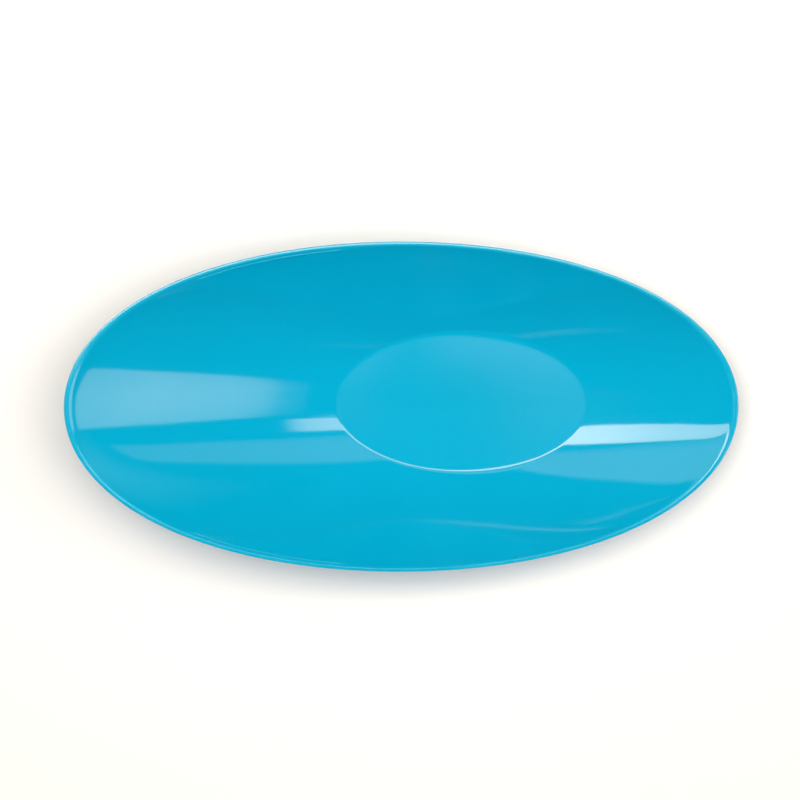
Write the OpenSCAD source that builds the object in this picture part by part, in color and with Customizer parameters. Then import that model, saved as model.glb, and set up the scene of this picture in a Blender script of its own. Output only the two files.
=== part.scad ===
// Oval serving dish with a slanted rim: one moulded shell.
// The flat oval well sits off centre, toward the low end; the wall
// sweeps up from a rounded crease to a level-cut rim that lies in one
// sloping plane, high at -X and low at +X. A foot ring is moulded
// under the well. Millimetres, +Z up, origin on the table under the
// middle of the rim's outline.

/* [Overall size] */
// length of the dish over the rim, end to end
dish_l = 380; // [350:5:410]
// width of the dish over the rim, side to side
dish_w = 186; // [176:2:200]
// height of the rim above the table at the high end (-X)
high_end_h = 80; // [68:1:90]
// height of the rim above the table at the low end (+X)
low_end_h = 31; // [26:1:40]
// how much fuller than a plain ellipse the rim is at its shoulders
rim_fullness = 0.0134; // [0:0.0002:0.02]

/* [Well] */
// length of the flat well at its crease
well_l = 145; // [125:1:155]
// width of the flat well at its crease
well_w = 81; // [72:1:88]
// distance from the middle of the dish to the middle of the well, toward the low end
well_shift = 32; // [22:1:40]
// radius where the wall leaves the well
crease_r = 9; // [5:0.5:12]

/* [Wall] */
// share of the wall's rise that is straight; the rest curves upward
wall_straight = 0.62; // [0.5:0.01:0.8]
// extra upturn of the wall next to the rim, as a share of its rise
wall_lip = 0.012; // [0:0.002:0.016]
// thickness of the wall at the rim
rim_t = 2.1; // [2:0.1:2.6]
// thickness of the floor of the well
floor_t = 3.2; // [2.6:0.1:4]

/* [Rim edge] */
// width of the gently crowned top of the rim
crown_w = 1.3; // [1:0.1:1.3]
// radius of that crown
crown_r = 7; // [6:0.5:10]
// radius of the rim's outer corner
corner_r = 0.4; // [0.3:0.05:0.5]
// how far down the wall the rim's inner rounding reaches
edge_in = 2; // [1:0.1:2.2]

/* [Foot ring] */
// height of the foot ring below the underside of the floor
foot_h = 2.4; // [1.8:0.1:3.5]
// width of the face the foot ring stands on
foot_w = 5; // [4:0.5:7]
// distance from the well's crease in to the outside of the foot ring
foot_inset = 4.2; // [3.5:0.1:6]

/* [Finish] */
// moulded colour of the whole dish, red green blue
dish_rgb = [0.02, 0.69, 0.83]; // [0:0.01:1]

/* [Hidden] */
// facets around the outline
n_around = 96;
// height of the well's floor above the table
floor_z = foot_h + floor_t;
// fall of the rim's plane along X, and its height in the middle
rim_fall = (high_end_h - low_end_h) / dish_l;
rim_mid_z = (high_end_h + low_end_h) / 2;
// first guess of the rim's width in plan, used to find the wall's slope
band_guess = 2.4;
eps = 0.02;

// ---------- plan curves ----------
// outermost line of the rim
function outline(a) = let (k = 1 + rim_fullness * pow(sin(2 * a), 2))
    [dish_l / 2 * k * cos(a), dish_w / 2 * k * sin(a)];
// outward direction of that line in plan
function outline_n(a) = let (d = outline(a + eps) - outline(a - eps))
    [d[1], -d[0]] / norm(d);
// crease of the well
function well(a) = [well_shift + well_l / 2 * cos(a), well_w / 2 * sin(a)];
// outward direction of the crease in plan
function well_n(a) = let (v = [cos(a) / well_l, sin(a) / well_w]) v / norm(v);
// height of the rim's plane at x
function rim_z(x) = rim_mid_z - rim_fall * x;

// ---------- inner surface ----------
// rounding of the crease: a parabola that runs from the flat into the wall
function soft(t, w) = t <= -w ? 0 : t >= w ? t : (t + w) * (t + w) / (4 * w);
// point of a wall that runs from the well to the edge e; t is 0 at the crease, 1 at the edge
function wall_pt(a, t, e) = let (
    w = well(a),
    run = norm(e - w),
    h = rim_z(e[0]) - floor_z,
    half = crease_r * tan(atan(h * wall_straight / run) / 2) / run,
    p = w + (e - w) * t,
    c = max(t, 0))
    [p[0], p[1], floor_z + h * (wall_straight * soft(t, half)
        + (1 - wall_straight - wall_lip) * c * c + wall_lip * pow(c, 20))];
// half width of the crease rounding, as a share of the wall's run
function crease_half(a, e) = let (run = norm(e - well(a)))
    crease_r * tan(atan((rim_z(e[0]) - floor_z) * wall_straight / run) / 2) / run;
// slope of the wall against the rim's plane, measured square to the rim, at a guessed edge
function edge_at(a, band) = outline(a) - outline_n(a) * band;
function edge_slope(a) = let (
    e = edge_at(a, band_guess),
    p = wall_pt(a, 1, e), q = wall_pt(a, 0.98, e),
    rise = (p[2] - q[2]) - (rim_z(p[0]) - rim_z(q[0])),
    across = ([p[0], p[1]] - [q[0], q[1]]) * outline_n(a))
    atan(rise / across);
// middle of the rim's outer corner, measured from the crest: outward and up
corner_at = [crown_w - corner_r * crown_w / crown_r,
    -crown_r + (crown_r - corner_r) * sqrt(1 - pow(crown_w / crown_r, 2))];
// how far out from the inner edge the crest of the rim lies, so that the wall has its thickness
function crest(f) = (rim_t - corner_r + corner_at[1] * cos(f)) / sin(f) - corner_at[0];
// width of the rim in plan
function band(a) = crest(edge_slope(a)) + corner_at[0] + corner_r;
// inner edge of the rim
function edge(a) = edge_at(a, band(a));
function inner(a, t) = wall_pt(a, t, edge(a));
// direction square to the wall, pointing into the dish
function inner_n(a, t) = let (
    da = inner(a + 0.2, t) - inner(a - 0.2, t),
    dt = inner(a, t + 0.002) - inner(a, t - 0.002),
    n = cross(dt, da)) n / norm(n);
// outer surface, a wall's thickness away
function wall_t(t) = rim_t + (floor_t - rim_t) * (1 - t);
function outer(a, t) = inner(a, t) - inner_n(a, t) * wall_t(t);

// ---------- rim ----------
// a point of the rim's section: u along the plan's outward direction, v above the rim's plane
function rim_pt(a, u, v) = let (p = edge(a) + outline_n(a) * u) [p[0], p[1], rim_z(p[0]) + v];
// rounding on the inside of the rim, from the wall up to the crest
function rim_inner(a) = let (
    f = edge_slope(a), u = crest(f), g = edge_in,
    s = [-g * cos(f), -g * sin(f)], e = [u, 0])
    [for (k = [0, 0.25, 0.5, 0.75]) let (q = (1 - k) * (1 - k) * s + k * k * e)
        rim_pt(a, q[0], q[1])];
// share of the wall's run that the inner rounding takes
function rim_share(a) = let (f = edge_slope(a), e = edge(a))
    edge_in * cos(f) / norm(e - well(a));
// crowned top and outer corner of the rim, carried under until it meets the wall's outer side
function rim_outer(a) = let (
    f = edge_slope(a), u = crest(f), tip = asin(crown_w / crown_r), up = 90 - tip, down = f - 90)
    concat(
        [for (s = [0, tip / 2]) rim_pt(a, u + crown_r * sin(s), crown_r * cos(s) - crown_r)],
        [for (s = [up, up * 0.62, up * 0.28, 0, down / 2, down])
            rim_pt(a, u + corner_at[0] + corner_r * cos(s), corner_at[1] + corner_r * sin(s))]);

// ---------- foot ----------
// a point o outward from the crease in plan, at height z
function foot_pt(a, o, z) = let (p = well(a) + well_n(a) * o) [p[0], p[1], z];
foot_rows = [
    [-1.6, foot_h + 0.06], [-foot_inset + 1.0, foot_h], [-foot_inset + 0.5, foot_h - 0.35],
    [-foot_inset + 0.1, 0.55], [-foot_inset - 0.05, 0.15], [-foot_inset - 0.4, -0.6],
    [-foot_inset - foot_w + 0.4, -0.6], [-foot_inset - foot_w - 0.05, 0.15],
    [-foot_inset - foot_w - 0.25, 0.55], [-foot_inset - foot_w - 0.9, foot_h - 0.4],
    [-foot_inset - foot_w - 1.6, foot_h]];

// ---------- section of the shell at one angle ----------
wall_ts = [0.05, 0.11, 0.18, 0.26, 0.35, 0.45, 0.55, 0.65, 0.75, 0.85, 0.93, 0.975];
back_ts = [0.96, 0.9, 0.81, 0.71, 0.61, 0.51, 0.41, 0.31, 0.22, 0.13, 0.05, 0];
function section(a) = let (h = crease_half(a, edge(a)), last = 1 - rim_share(a))
    concat(
        [for (k = [-1, -0.4, 0.2, 0.9]) inner(a, k * h)],
        [for (t = wall_ts) inner(a, h + t * (last - h))],
        rim_inner(a),
        rim_outer(a),
        [for (t = back_ts) outer(a, t)],
        [for (r = foot_rows) foot_pt(a, r[0], r[1])]);

module shell() {
    rows = [for (i = [0:n_around - 1]) section(i * 360 / n_around)];
    m = len(rows[0]);
    pts = [for (i = [0:n_around - 1]) for (p = rows[i]) p];
    sides = [for (i = [0:n_around - 1]) for (j = [0:m - 2])
        let (p = i * m + j, q = ((i + 1) % n_around) * m + j)
        each [[p, p + 1, q + 1], [p, q + 1, q]]];
    top = [[for (i = [0:n_around - 1]) i * m]];
    under = [[for (i = [n_around - 1:-1:0]) i * m + m - 1]];
    polyhedron(points = pts, faces = concat(sides, top, under), convexity = 6);
}

// The whole dish, with the foot ring trimmed flat where it stands.
module dish() {
    color(dish_rgb)
    difference() {
        shell();
        translate([-dish_l, -dish_w, -5]) cube([2 * dish_l, 2 * dish_w, 5]);
    }
}

dish();
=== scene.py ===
import math

import bpy
from mathutils import Euler, Matrix, Vector


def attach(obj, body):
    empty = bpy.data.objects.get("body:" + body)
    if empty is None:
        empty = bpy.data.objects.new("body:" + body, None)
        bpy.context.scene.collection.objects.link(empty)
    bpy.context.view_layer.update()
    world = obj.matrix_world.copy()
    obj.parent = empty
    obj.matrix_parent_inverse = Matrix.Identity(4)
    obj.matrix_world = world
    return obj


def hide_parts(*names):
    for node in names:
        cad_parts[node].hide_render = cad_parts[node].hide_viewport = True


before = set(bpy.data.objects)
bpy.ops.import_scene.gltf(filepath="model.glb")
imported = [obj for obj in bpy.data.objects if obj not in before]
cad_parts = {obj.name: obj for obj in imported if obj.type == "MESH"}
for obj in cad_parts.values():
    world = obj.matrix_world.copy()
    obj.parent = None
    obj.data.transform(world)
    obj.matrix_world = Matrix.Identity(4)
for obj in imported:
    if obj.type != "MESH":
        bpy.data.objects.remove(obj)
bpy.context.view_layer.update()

# ---------------------------------------------------------------------------
# The dish's dimensions, in millimetres, as in the CAD model
# ---------------------------------------------------------------------------
DISH_L, DISH_W = 380.0, 186.0
HIGH_H, LOW_H = 80.0, 31.0
FULL = 0.0134
WELL_L, WELL_W, WELL_SHIFT = 145.0, 81.0, 32.0
CREASE_R = 9.0
STRAIGHT = 0.62
LIP = 0.012
RIM_T, FLOOR_T = 2.1, 3.2
CROWN_W, CROWN_R, CORNER_R, EDGE_IN = 1.3, 7.0, 0.4, 2.0
FOOT_H, FOOT_W, FOOT_INSET = 2.4, 5.0, 4.2

FLOOR_Z = FOOT_H + FLOOR_T
FALL = (HIGH_H - LOW_H) / DISH_L
MID_Z = (HIGH_H + LOW_H) / 2.0

sin, cos, tan, atan, hypot, pi = (
    math.sin, math.cos, math.tan, math.atan, math.hypot, math.pi)


def outline(a):
    k = 1 + FULL * sin(2 * a) ** 2
    return (DISH_L / 2 * k * cos(a), DISH_W / 2 * k * sin(a))


def outline_n(a):
    p, q = outline(a + 3e-4), outline(a - 3e-4)
    dx, dy = p[0] - q[0], p[1] - q[1]
    m = hypot(dx, dy)
    return (dy / m, -dx / m)


def well(a):
    return (WELL_SHIFT + WELL_L / 2 * cos(a), WELL_W / 2 * sin(a))


def well_n(a):
    x, y = cos(a) / WELL_L, sin(a) / WELL_W
    m = hypot(x, y)
    return (x / m, y / m)


def rim_z(x):
    return MID_Z - FALL * x


def soft(t, w):
    return 0.0 if t <= -w else t if t >= w else (t + w) ** 2 / (4 * w)


def crease_half(a, e):
    w = well(a)
    run = hypot(e[0] - w[0], e[1] - w[1])
    h = rim_z(e[0]) - FLOOR_Z
    return CREASE_R * tan(atan(h * STRAIGHT / run) / 2) / run


def wall_pt(a, t, e, half=None):
    w = well(a)
    h = rim_z(e[0]) - FLOOR_Z
    if half is None:
        half = crease_half(a, e)
    c = max(t, 0.0)
    return (w[0] + (e[0] - w[0]) * t, w[1] + (e[1] - w[1]) * t,
            FLOOR_Z + h * (STRAIGHT * soft(t, half) + (1 - STRAIGHT - LIP) * c * c
                           + LIP * c ** 20))


def edge_at(a, band):
    o, n = outline(a), outline_n(a)
    return (o[0] - n[0] * band, o[1] - n[1] * band)


def edge_slope(a):
    e = edge_at(a, 2.4)
    p, q, n = wall_pt(a, 1.0, e), wall_pt(a, 0.98, e), outline_n(a)
    rise = (p[2] - q[2]) - (rim_z(p[0]) - rim_z(q[0]))
    across = (p[0] - q[0]) * n[0] + (p[1] - q[1]) * n[1]
    return atan(rise / across)


CORNER_U = CROWN_W - CORNER_R * CROWN_W / CROWN_R
CORNER_V = -CROWN_R + (CROWN_R - CORNER_R) * math.sqrt(1 - (CROWN_W / CROWN_R) ** 2)


def crest(f):
    return (RIM_T - CORNER_R + CORNER_V * cos(f)) / sin(f) - CORNER_U


def band(a):
    return crest(edge_slope(a)) + CORNER_U + CORNER_R


def inner(a, t):
    return wall_pt(a, t, edge_at(a, band(a)))


def inner_n(a, t):
    p, q = inner(a + 0.0035, t), inner(a - 0.0035, t)
    r, s = inner(a, t + 0.002), inner(a, t - 0.002)
    da = Vector((p[0] - q[0], p[1] - q[1], p[2] - q[2]))
    dt = Vector((r[0] - s[0], r[1] - s[1], r[2] - s[2]))
    return dt.cross(da).normalized()


def outer(a, t):
    p, n = inner(a, t), inner_n(a, t)
    k = RIM_T + (FLOOR_T - RIM_T) * (1 - t)
    return (p[0] - n[0] * k, p[1] - n[1] * k, p[2] - n[2] * k)


def rim_pt(a, e, n, u, v):
    x, y = e[0] + n[0] * u, e[1] + n[1] * u
    return (x, y, rim_z(x) + v)


def foot_profile():
    """The foot ring's section: offset outward from the crease, and height.
    It starts under the wall and ends at the recessed underside."""
    o, i = -FOOT_INSET, -FOOT_INSET - FOOT_W
    rows = [(-0.4, FOOT_H + 0.10), (-1.4, FOOT_H + 0.05), (-2.3, FOOT_H + 0.02)]
    rows += [(o + 1.0 - 0.5 * sin(s), FOOT_H - 0.5 * (1 - cos(s)))
             for s in [k / 4 * pi / 2.2 for k in range(5)]]
    rows += [(o + 0.16, 1.15)]
    rows += [(o - 0.40 + 0.48 * cos(s), 0.50 - 0.50 * sin(s))
             for s in [k / 6 * pi / 2 for k in range(7)]]
    rows += [(o - FOOT_W * f, 0.0) for f in (0.3, 0.5, 0.7)]
    rows += [(i + 0.40 - 0.48 * sin(s), 0.50 - 0.50 * cos(s))
             for s in [k / 6 * pi / 2 for k in range(7)]]
    rows += [(i - 0.25, 1.2)]
    rows += [(i - 1.35 + 0.95 * cos(s), FOOT_H - 0.80 + 0.80 * sin(s))
             for s in [k / 4 * pi / 2 for k in range(5)]]
    return rows


# ---------------------------------------------------------------------------
# The smooth dish: one closed mesh, swept round the outline
# ---------------------------------------------------------------------------
N = 360
FLOOR_RINGS = (0.16, 0.33, 0.5, 0.66, 0.8, 0.9, 0.96)
WALL = [i / 44.0 for i in range(1, 41)] + [0.925, 0.94, 0.953, 0.965, 0.976, 0.986, 0.994, 1.0]
BACK = [1 - i / 34.0 for i in range(1, 35)]
FOOT = foot_profile()


def section(a):
    """Points of the section at angle a, from the edge of the flat well, up the
    inside, over the rim, down the outside and under the foot; each with a tag
    for how exposed to handling it is."""
    b = band(a)
    e, n, f = edge_at(a, b), outline_n(a), edge_slope(a)
    h = crease_half(a, e)
    pts = []
    for i in range(13):
        k = -1 + 2 * i / 12.0
        pts.append((wall_pt(a, k * h, e, h), 0.0))
    top = crest(f)
    g = EDGE_IN
    run = hypot(e[0] - well(a)[0], e[1] - well(a)[1])
    last = 1 - g * cos(f) / run
    for t in WALL[:-1]:
        pts.append((wall_pt(a, h + t * (last - h), e, h), 0.0))
    s0, s1 = (-g * cos(f), -g * sin(f)), (top, 0.0)
    for i in range(12):
        k = i / 12.0
        u = (1 - k) ** 2 * s0[0] + k * k * s1[0]
        v = (1 - k) ** 2 * s0[1] + k * k * s1[1]
        pts.append((rim_pt(a, e, n, u, v), min(1.0, 1.6 * k)))
    tip = math.asin(CROWN_W / CROWN_R)
    for i in range(8):
        s = tip * i / 8.0
        pts.append((rim_pt(a, e, n, top + CROWN_R * sin(s), CROWN_R * (cos(s) - 1)), 1.0))
    up, down = pi / 2 - tip, f - pi / 2
    for s in [up * (1 - i / 7.0) for i in range(8)] + [down * i / 5.0 for i in range(1, 6)]:
        pts.append((rim_pt(a, e, n, top + CORNER_U + CORNER_R * cos(s),
                           CORNER_V + CORNER_R * sin(s)), 1.0))
    for t in BACK:
        pts.append((outer(a, t), 0.0))
    w, m = well(a), well_n(a)
    for o, z in FOOT:
        pts.append(((w[0] + m[0] * o, w[1] + m[1] * o, z), 1.0 if z < 0.35 else 0.0))
    return pts


def build_dish():
    rows = [section(2 * pi * i / N) for i in range(N)]
    m = len(rows[0])
    verts, tags, faces = [], [], []
    # flat of the well, from its middle out
    verts.append((WELL_SHIFT, 0.0, FLOOR_Z))
    tags.append(0.0)
    for k in FLOOR_RINGS:
        for i in range(N):
            p = rows[i][0][0]
            verts.append((WELL_SHIFT + (p[0] - WELL_SHIFT) * k, p[1] * k, FLOOR_Z))
            tags.append(0.0)
    base = len(verts)
    for i in range(N):
        for p, tag in rows[i]:
            verts.append(p)
            tags.append(tag)
    for i in range(N):
        j = (i + 1) % N
        faces.append((0, 1 + i, 1 + j))
        for r in range(len(FLOOR_RINGS) - 1):
            a0, a1 = 1 + r * N, 1 + (r + 1) * N
            faces.append((a0 + i, a1 + i, a1 + j, a0 + j))
        a0 = 1 + (len(FLOOR_RINGS) - 1) * N
        faces.append((a0 + i, base + i * m, base + j * m, a0 + j))
        for r in range(m - 1):
            faces.append((base + i * m + r, base + i * m + r + 1,
                          base + j * m + r + 1, base + j * m + r))
    # recessed underside, closed inward to its middle
    prev = [base + i * m + m - 1 for i in range(N)]
    for k in (0.85, 0.6, 0.3):
        ring = []
        for i in range(N):
            p = rows[i][m - 1][0]
            ring.append(len(verts))
            verts.append((WELL_SHIFT + (p[0] - WELL_SHIFT) * k, p[1] * k, FOOT_H))
            tags.append(0.0)
        for i in range(N):
            j = (i + 1) % N
            faces.append((prev[i], ring[i], ring[j], prev[j]))
        prev = ring
    hub = len(verts)
    verts.append((WELL_SHIFT, 0.0, FOOT_H))
    tags.append(0.0)
    for i in range(N):
        faces.append((prev[i], hub, prev[(i + 1) % N]))
    me = bpy.data.meshes.new("dish_shell")
    me.from_pydata([(x / 1000, y / 1000, z / 1000) for x, y, z in verts], [], faces)
    me.update()
    for poly in me.polygons:
        poly.use_smooth = True
    at = me.attributes.new("handled", "FLOAT", "POINT")
    at.data.foreach_set("value", tags)
    ob = bpy.data.objects.new("dish_shell", me)
    bpy.context.scene.collection.objects.link(ob)
    return ob


# ---------------------------------------------------------------------------
# Materials
# ---------------------------------------------------------------------------
def node(nt, kind, x, y, **props):
    n = nt.nodes.new(kind)
    n.location = (x, y)
    for k, v in props.items():
        setattr(n, k, v)
    return n


def moulded_gloss():
    mat = bpy.data.materials.new("glossy_turquoise_plastic")
    mat.use_nodes = True
    nt = mat.node_tree
    nt.nodes.clear()
    out = node(nt, "ShaderNodeOutputMaterial", 1200, 0)
    bsdf = node(nt, "ShaderNodeBsdfPrincipled", 900, 0)
    nt.links.new(bsdf.outputs[0], out.inputs[0])
    bsdf.inputs["IOR"].default_value = 1.58
    bsdf.inputs["Metallic"].default_value = 0.0
    co = node(nt, "ShaderNodeTexCoord", -1400, 0)

    # pigment: broad, faint drift in the moulded colour and a very fine fleck
    drift = node(nt, "ShaderNodeTexNoise", -1100, 400)
    drift.inputs["Scale"].default_value = 9.0
    drift.inputs["Detail"].default_value = 3.0
    nt.links.new(co.outputs["Object"], drift.inputs["Vector"])
    ramp = node(nt, "ShaderNodeValToRGB", -850, 400)
    ramp.color_ramp.elements[0].position = 0.30
    ramp.color_ramp.elements[0].color = (0.0005, 0.372, 0.612, 1)
    ramp.color_ramp.elements[1].position = 0.72
    ramp.color_ramp.elements[1].color = (0.0012, 0.400, 0.655, 1)
    nt.links.new(drift.outputs["Fac"], ramp.inputs["Fac"])
    fleck = node(nt, "ShaderNodeTexNoise", -1100, 150)
    fleck.inputs["Scale"].default_value = 1400.0
    fleck.inputs["Detail"].default_value = 1.0
    nt.links.new(co.outputs["Object"], fleck.inputs["Vector"])
    fl = node(nt, "ShaderNodeMapRange", -850, 150)
    fl.inputs["From Min"].default_value = 0.3
    fl.inputs["From Max"].default_value = 0.7
    fl.inputs["To Min"].default_value = 0.965
    fl.inputs["To Max"].default_value = 1.03
    nt.links.new(fleck.outputs["Fac"], fl.inputs["Value"])
    mul = node(nt, "ShaderNodeMix", -500, 350, data_type="RGBA", blend_type="MULTIPLY")
    mul.inputs["Factor"].default_value = 1.0
    nt.links.new(ramp.outputs["Color"], mul.inputs[6])
    nt.links.new(fl.outputs["Result"], mul.inputs[7])
    # handled edges: rim and foot are a touch paler where the gloss is rubbed
    tag = node(nt, "ShaderNodeAttribute", -1100, -150, attribute_name="handled")
    rub = node(nt, "ShaderNodeTexNoise", -1100, -350)
    rub.inputs["Scale"].default_value = 60.0
    rub.inputs["Detail"].default_value = 6.0
    nt.links.new(co.outputs["Object"], rub.inputs["Vector"])
    rubr = node(nt, "ShaderNodeMapRange", -850, -350)
    rubr.inputs["From Min"].default_value = 0.45
    rubr.inputs["From Max"].default_value = 0.75
    rubr.inputs["To Min"].default_value = 0.25
    nt.links.new(rub.outputs["Fac"], rubr.inputs["Value"])
    worn = node(nt, "ShaderNodeMath", -600, -200, operation="MULTIPLY")
    nt.links.new(tag.outputs["Fac"], worn.inputs[0])
    nt.links.new(rubr.outputs["Result"], worn.inputs[1])
    wmix = node(nt, "ShaderNodeMath", -400, -200, operation="MULTIPLY")
    wmix.inputs[1].default_value = 0.16
    nt.links.new(worn.outputs[0], wmix.inputs[0])
    pale = node(nt, "ShaderNodeMix", -200, 300, data_type="RGBA")
    pale.inputs[7].default_value = (0.06, 0.54, 0.72, 1)
    nt.links.new(wmix.outputs[0], pale.inputs["Factor"])
    nt.links.new(mul.outputs[2], pale.inputs[6])
    nt.links.new(pale.outputs[2], bsdf.inputs["Base Color"])

    # gloss: even, with faint wiping marks along the dish
    wipe_map = node(nt, "ShaderNodeMapping", -1150, -600)
    wipe_map.inputs["Scale"].default_value = (6.0, 90.0, 40.0)
    wipe_map.inputs["Rotation"].default_value = (0.0, 0.0, 0.25)
    nt.links.new(co.outputs["Object"], wipe_map.inputs["Vector"])
    wipe = node(nt, "ShaderNodeTexNoise", -900, -600)
    wipe.inputs["Scale"].default_value = 1.0
    wipe.inputs["Detail"].default_value = 5.0
    nt.links.new(wipe_map.outputs["Vector"], wipe.inputs["Vector"])
    rough = node(nt, "ShaderNodeMapRange", -600, -600)
    rough.inputs["From Min"].default_value = 0.3
    rough.inputs["From Max"].default_value = 0.75
    rough.inputs["To Min"].default_value = 0.050
    rough.inputs["To Max"].default_value = 0.078
    nt.links.new(wipe.outputs["Fac"], rough.inputs["Value"])
    add = node(nt, "ShaderNodeMath", -300, -500, operation="MULTIPLY_ADD")
    add.inputs[1].default_value = 0.14
    nt.links.new(worn.outputs[0], add.inputs[0])
    nt.links.new(rough.outputs["Result"], add.inputs[2])
    nt.links.new(add.outputs[0], bsdf.inputs["Roughness"])

    # surface: slow waviness of a moulded wall, and a fine skin texture
    wave = node(nt, "ShaderNodeTexNoise", -900, -900)
    wave.inputs["Scale"].default_value = 30.0
    wave.inputs["Detail"].default_value = 1.5
    nt.links.new(co.outputs["Object"], wave.inputs["Vector"])
    b1 = node(nt, "ShaderNodeBump", -500, -900)
    b1.inputs["Strength"].default_value = 1.0
    b1.inputs["Distance"].default_value = 0.00008
    nt.links.new(wave.outputs["Fac"], b1.inputs["Height"])
    skin = node(nt, "ShaderNodeTexNoise", -900, -1150)
    skin.inputs["Scale"].default_value = 420.0
    skin.inputs["Detail"].default_value = 2.0
    nt.links.new(co.outputs["Object"], skin.inputs["Vector"])
    b2 = node(nt, "ShaderNodeBump", -250, -900)
    b2.inputs["Strength"].default_value = 0.5
    b2.inputs["Distance"].default_value = 0.0000035
    nt.links.new(skin.outputs["Fac"], b2.inputs["Height"])
    nt.links.new(b1.outputs["Normal"], b2.inputs["Normal"])
    nt.links.new(b2.outputs["Normal"], bsdf.inputs["Normal"])
    return mat


def pale_floor():
    mat = bpy.data.materials.new("pale_floor")
    mat.use_nodes = True
    nt = mat.node_tree
    bsdf = nt.nodes["Principled BSDF"]
    co = node(nt, "ShaderNodeTexCoord", -900, 0)
    n = node(nt, "ShaderNodeTexNoise", -650, 0)
    n.inputs["Scale"].default_value = 3.0
    n.inputs["Detail"].default_value = 2.0
    nt.links.new(co.outputs["Object"], n.inputs["Vector"])
    r = node(nt, "ShaderNodeValToRGB", -400, 0)
    r.color_ramp.elements[0].color = (0.945, 0.945, 0.945, 1)
    r.color_ramp.elements[1].color = (0.965, 0.965, 0.965, 1)
    nt.links.new(n.outputs["Fac"], r.inputs["Fac"])
    nt.links.new(r.outputs["Color"], bsdf.inputs["Base Color"])
    bsdf.inputs["Roughness"].default_value = 0.9
    bsdf.inputs["Specular IOR Level"].default_value = 0.1
    return mat


# ---------------------------------------------------------------------------
# The piece
# ---------------------------------------------------------------------------
dish = build_dish()
dish.data.materials.append(moulded_gloss())
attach(dish, "root")
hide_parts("dish")

# ---------------------------------------------------------------------------
# Floor, light and camera
# ---------------------------------------------------------------------------
me = bpy.data.meshes.new("floor")
S = 6.0
me.from_pydata([(-S, -S, 0), (S, -S, 0), (S, S, 0), (-S, S, 0)], [], [(0, 1, 2, 3)])
floor = bpy.data.objects.new("floor", me)
floor.data.materials.append(pale_floor())
bpy.context.scene.collection.objects.link(floor)

world = bpy.data.worlds.new("studio")
bpy.context.scene.world = world
world.use_nodes = True
bg = world.node_tree.nodes["Background"]
bg.inputs["Color"].default_value = (1.0, 1.0, 1.0, 1)
bg.inputs["Strength"].default_value = 0.016


def area(name, centre, across, up, w, h, radiance):
    """A rectangular soft light, w along across and h along up; it shines along up x across.
    Its radiance is set, so its power follows its size. It fills shade and isn't mirrored."""
    li = bpy.data.lights.new(name, "AREA")
    li.shape = "RECTANGLE"
    li.size, li.size_y = w, h
    li.energy = radiance * pi * w * h
    ob = bpy.data.objects.new(name, li)
    x = Vector(across).normalized()
    z = x.cross(Vector(up)).normalized()
    y = z.cross(x)
    m = Matrix((x, y, z)).transposed().to_4x4()
    m.translation = Vector(centre)
    ob.matrix_world = m
    ob.visible_camera = False
    ob.visible_glossy = False
    bpy.context.scene.collection.objects.link(ob)
    return ob


def glow_material():
    mat = bpy.data.materials.new("soft_light")
    mat.use_nodes = True
    nt = mat.node_tree
    nt.nodes.clear()
    out = node(nt, "ShaderNodeOutputMaterial", 300, 0)
    em = node(nt, "ShaderNodeEmission", 0, 0)
    em.inputs["Color"].default_value = (1.0, 0.86, 0.72, 1)
    at = node(nt, "ShaderNodeAttribute", -300, 0, attribute_name="glow")
    nt.links.new(at.outputs["Fac"], em.inputs["Strength"])
    nt.links.new(em.outputs[0], out.inputs[0])
    return mat


GLOW = glow_material()


def card(name, near, far, ku, kv, at, level):
    """A soft light card. near and far are polylines of as many points; the card spans from
    one to the other. level(u, v) is its radiance, u along the polylines and v across."""
    def on(line, u):
        k = u * (len(line) - 1)
        i = min(int(k), len(line) - 2)
        f = k - i
        return [line[i][c] * (1 - f) + line[i + 1][c] * f for c in range(2)]
    verts, glow, faces = [], [], []
    for j in range(kv + 1):
        v = j / kv
        for i in range(ku + 1):
            u = i / ku
            p, q = on(near, u), on(far, u)
            verts.append(at(p[0] * (1 - v) + q[0] * v, p[1] * (1 - v) + q[1] * v))
            glow.append(max(0.0, level(u, v)))
    for j in range(kv):
        for i in range(ku):
            a = j * (ku + 1) + i
            faces.append((a, a + 1, a + ku + 2, a + ku + 1))
    me = bpy.data.meshes.new(name)
    me.from_pydata(verts, [], faces)
    me.update()
    me.attributes.new("glow", "FLOAT", "POINT").data.foreach_set("value", glow)
    ob = bpy.data.objects.new(name, me)
    ob.data.materials.append(GLOW)
    ob.visible_camera = False
    ob.visible_shadow = False
    bpy.context.scene.collection.objects.link(ob)
    return ob


def curve(pts, x):
    """Piecewise straight curve through pts."""
    if x <= pts[0][0]:
        return pts[0][1]
    for (x0, y0), (x1, y1) in zip(pts, pts[1:]):
        if x <= x1:
            return y0 + (y1 - y0) * (x - x0) / (x1 - x0)
    return pts[-1][1]


def ease(x):
    x = min(max(x, 0.0), 1.0)
    return x * x * (3 - 2 * x)


H = 1.5


def overhead(x, y):
    return (x, y, H)


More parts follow.
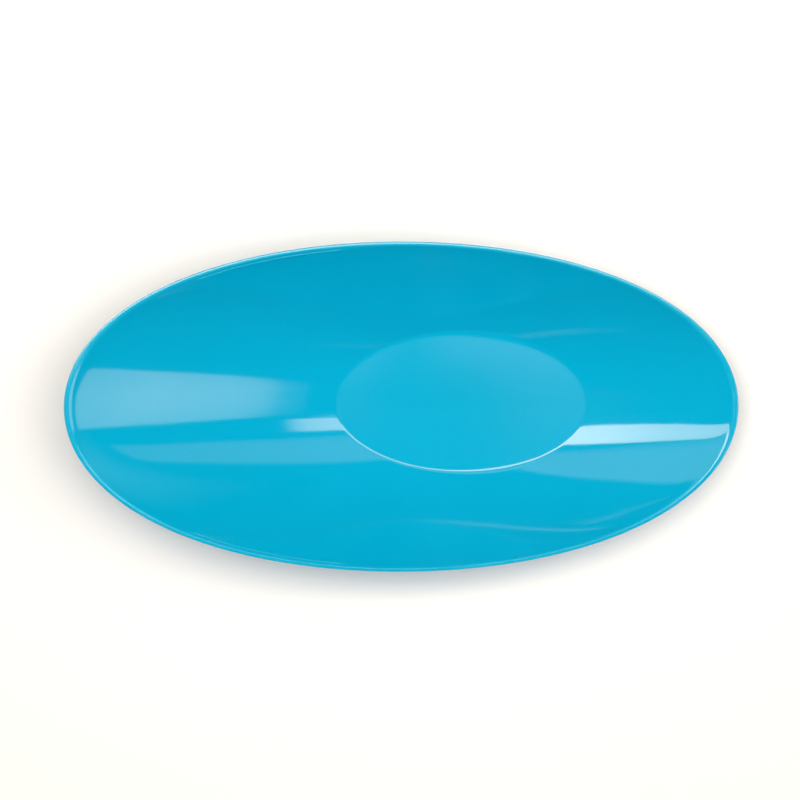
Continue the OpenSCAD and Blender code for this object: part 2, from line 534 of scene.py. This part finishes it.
# long strip overhead, a little behind the dish, brightest left of its middle
STRIP = ((-1.5, 4.5), (-0.9, 5.5), (-0.735, 6.3), (-0.63, 7.1), (-0.54, 8.2), (-0.45, 9.2),
         (-0.35, 9.8), (-0.25, 9.6), (0.0, 7.6), (0.3, 6.6), (0.7, 5.8), (1.0, 5.1), (1.13, 4.3),
         (1.21, 0.6))
card("strip",
     [(-1.5, 0.241), (-1.05, 0.241), (-0.6, 0.241), (-0.15, 0.25), (0.3, 0.27), (0.75, 0.285),
      (1.21, 0.30)],
     [(-1.5, 0.40), (-1.05, 0.49), (-0.6, 0.610), (-0.15, 0.635), (0.3, 0.64), (0.75, 0.63),
      (1.21, 0.61)],
     90, 6, overhead, lambda u, v: curve(STRIP, -1.5 + 2.71 * u))
card("strip_skirt", [(0.50, 0.19), (1.12, 0.20)], [(0.50, 0.29), (1.12, 0.30)], 20, 6, overhead,
     lambda u, v: 0.9 * ease(u / 0.3) * ease((1 - u) / 0.2) * ease(v / 0.3))
# dim reflector further back
BACK = ((-1.7, 1.1), (0.0, 1.1), (1.0, 1.05), (1.9, 0.85), (2.8, 0.6))
card("back",
     [(-1.7, 0.50), (-1.2, 0.52), (-0.95, 0.55), (-0.6, 0.69), (-0.25, 0.84), (0.43, 0.80),
      (1.1, 0.765), (1.8, 0.82), (2.8, 0.95)],
     [(-1.7, 2.12), (-1.2, 2.08), (-0.95, 2.02), (-0.6, 1.90), (-0.25, 1.72), (0.43, 1.74),
      (1.1, 1.75), (1.8, 1.55), (2.8, 1.40)],
     80, 20, overhead,
     lambda u, v: curve(BACK, -1.7 + 4.5 * u) * (0.55 + 0.45 * ease(v / 0.15))
     * ease((1 - v) / 0.16) * ease((1 - u) / 0.06))
# upright panel beside the low end, brightest across its middle, its top edge soft
PANEL = ((0.79, 2.2), (1.06, 2.35), (1.15, 2.7), (1.27, 2.9), (1.39, 2.75), (1.68, 2.5),
         (1.76, 2.25), (1.84, 1.7), (1.96, 0.6), (2.04, 0.4), (2.15, 0.22))

PANEL_TOP = ((0.0, 0.12), (0.1, 0.06), (0.25, -0.02), (0.45, 0.02), (0.62, 0.0), (0.8, 0.04),
             (0.96, 0.10))


def panel_level(u, v):
    z = 0.79 + 1.36 * v
    side = 1 - 0.24 * abs(2 * u - 1) ** 2.0
    edge = ease(u / 0.05) * ease((1 - u) / 0.05) * ease((1 - v) / 0.06)
    return curve(PANEL, z + curve(PANEL_TOP, u)) * side * edge


card("side_panel", [(-0.86, 0.79), (0.295, 0.79)], [(-0.905, 2.15), (0.295, 2.15)],
     40, 50, lambda y, z: (1.6, y, z), panel_level)
# faint bar in front, and faint low edges far behind
BAR = ((-0.75, 0.0), (-0.56, 0.0), (-0.485, 0.04), (-0.42, 0.10), (-0.353, 0.21), (-0.30, 0.42),
       (-0.25, 0.46), (0.0, 0.3), (0.5, 0.25), (0.8, 0.08), (1.05, 0.0))
card("front_bar", [(-0.75, -1.90), (-0.15, -1.56), (0.45, -1.50), (1.05, -1.46)],
     [(-0.75, -1.62), (-0.15, -1.22), (0.45, -1.20), (1.05, -1.16)],
     40, 10, lambda x, y: (x, y, 1.0),
     lambda u, v: curve(BAR, -0.75 + 1.8 * u) * sin(pi * v))


def far(az, el):
    a, e, d = math.radians(az), math.radians(el), 2.6
    return (-d * sin(a), d * cos(a), d * tan(e) + 0.03)


card("far_edge", [(-10, 8.4), (0, 8.2), (9.5, 9.8)], [(-10, 9.8), (0, 9.6), (9.5, 11.2)],
     30, 6, far, lambda u, v: 1.1 * ease(u / 0.35) * ease((1 - u) / 0.15) * sin(pi * v))
FAR_END = ((0.0, 0.0), (0.15, 0.8), (0.35, 0.9), (0.5, 0.5), (0.62, 0.42), (0.75, 0.5),
           (0.88, 0.3), (1.0, 0.0))
card("far_edge_end",
     [(5, 11.8), (8, 13.8), (11, 16.6), (14, 20.4), (17, 22.5), (20, 23.5), (23, 25.4)],
     [(5, 13.2), (8, 15.3), (11, 18.2), (14, 22.1), (17, 24.2), (20, 25.2), (23, 27.1)],
     48, 6, far, lambda u, v: curve(FAR_END, u) * sin(pi * v))
# broad weak glow far behind the low end
card("far_glow", [(-92, 10), (-60, 6), (-28, 5)], [(-92, 30), (-60, 29), (-28, 28)],
     40, 20, far,
     lambda u, v: 0.40 * math.exp(-((u - 0.54) / 0.27) ** 2 - ((v - 0.60) / 0.42) ** 2)
     * ease(u / 0.15) * ease((1 - u) / 0.15) * ease(v / 0.25) * ease((1 - v) / 0.2))


def over_level(u, v):
    x, y = -0.12 + 0.42 * u, -0.22 + 0.25 * v
    top = 0.78 * ease((y + 0.085) / 0.07) * (1 - 0.85 * math.exp(-((x - 0.025) / 0.035) ** 2))
    right = 0.30 * ease((x - 0.085) / 0.10) * ease((y + 0.20) / 0.10)
    left = 0.16 * ease((0.0 - x) / 0.04) * ease((y + 0.17) / 0.08)
    return (top + right + left) * ease(v / 0.1) * ease((1 - v) / 0.15) * ease((1 - u) / 0.1)


card("over_glow", [(-0.12, -0.22), (0.30, -0.22)], [(-0.12, 0.03), (0.30, 0.03)],
     42, 26, overhead, over_level)
# soft fills for the shade: overhead and from the front
area("top_fill", (0.03, -0.04, 1.45), (1, 0, 0), (0, 1, 0), 1.15, 0.6, 5.45)
area("front_fill", (0.0, -1.5, 1.3), (1, 0, 0), (0, 0.65, 0.75), 2.6, 1.2, 0.25)

cam_data = bpy.data.cameras.new("camera")
cam = bpy.data.objects.new("camera", cam_data)
bpy.context.scene.collection.objects.link(cam)
cam_data.sensor_width = 36.0
cam_data.lens = 36.0 * 2758.1 / 800.0
cam.location = (-0.02363, 0.09984, 1.6024)
cam.rotation_euler = Euler((math.radians(-3.548), math.radians(-0.692), math.radians(0.556)), "XYZ")
cam_data.clip_start = 0.05
bpy.context.scene.camera = cam

view = bpy.context.scene.view_settings
view.view_transform = "Standard"
view.look = "None"
view.exposure = 0.0
view.gamma = 1.0
